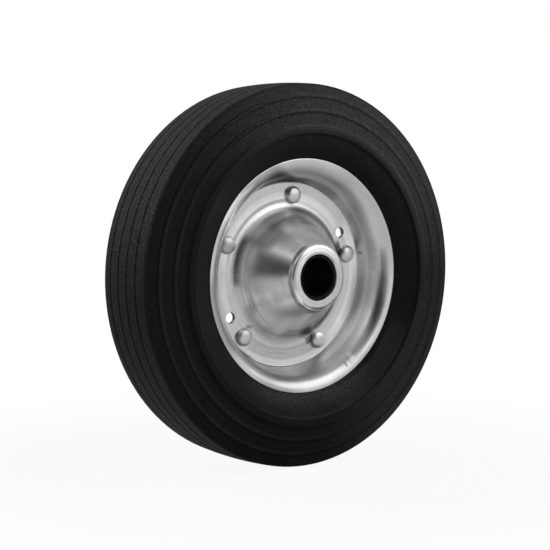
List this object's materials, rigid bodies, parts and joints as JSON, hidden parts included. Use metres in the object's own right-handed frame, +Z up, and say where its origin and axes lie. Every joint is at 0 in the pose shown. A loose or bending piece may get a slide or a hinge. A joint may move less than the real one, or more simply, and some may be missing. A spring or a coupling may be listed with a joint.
{
  "type": "jockey wheel",
  "caption": "Solid rubber tyre with ribbed sidewalls on a rolled steel rim, with riveted pressed hub discs and a plastic bush for the axle.",
  "frame": {"origin": "middle of the wheel, on the axle's centre line, halfway between the two hub faces", "axes": "+Y along the axle to the rear, the front face looks towards -Y, +Z up, +X to the right as seen from the front"},
  "size_m": [0.2, 0.0564, 0.2],
  "materials": {
    "tyre_rubber": "matt black solid rubber with a fine grain",
    "plated_steel": "bright zinc plated pressed steel, satin, with faint drawing lines",
    "rivet_steel": "bright zinc plated rivet, smooth domed head",
    "tube_steel": "plain steel tube, hidden inside the hub",
    "bush_plastic": "black moulded plastic"
  },
  "bodies": {
    "root": {"tyre": "tyre_rubber", "rim": "plated_steel", "front_hub_disc": "plated_steel", "rear_hub_disc": "plated_steel", "rivet_1": "rivet_steel", "rivet_2": "rivet_steel", "rivet_3": "rivet_steel", "rivet_4": "rivet_steel", "rivet_5": "rivet_steel", "hub_tube": "tube_steel", "axle_bush": "bush_plastic"}
  },
  "joints": []
}
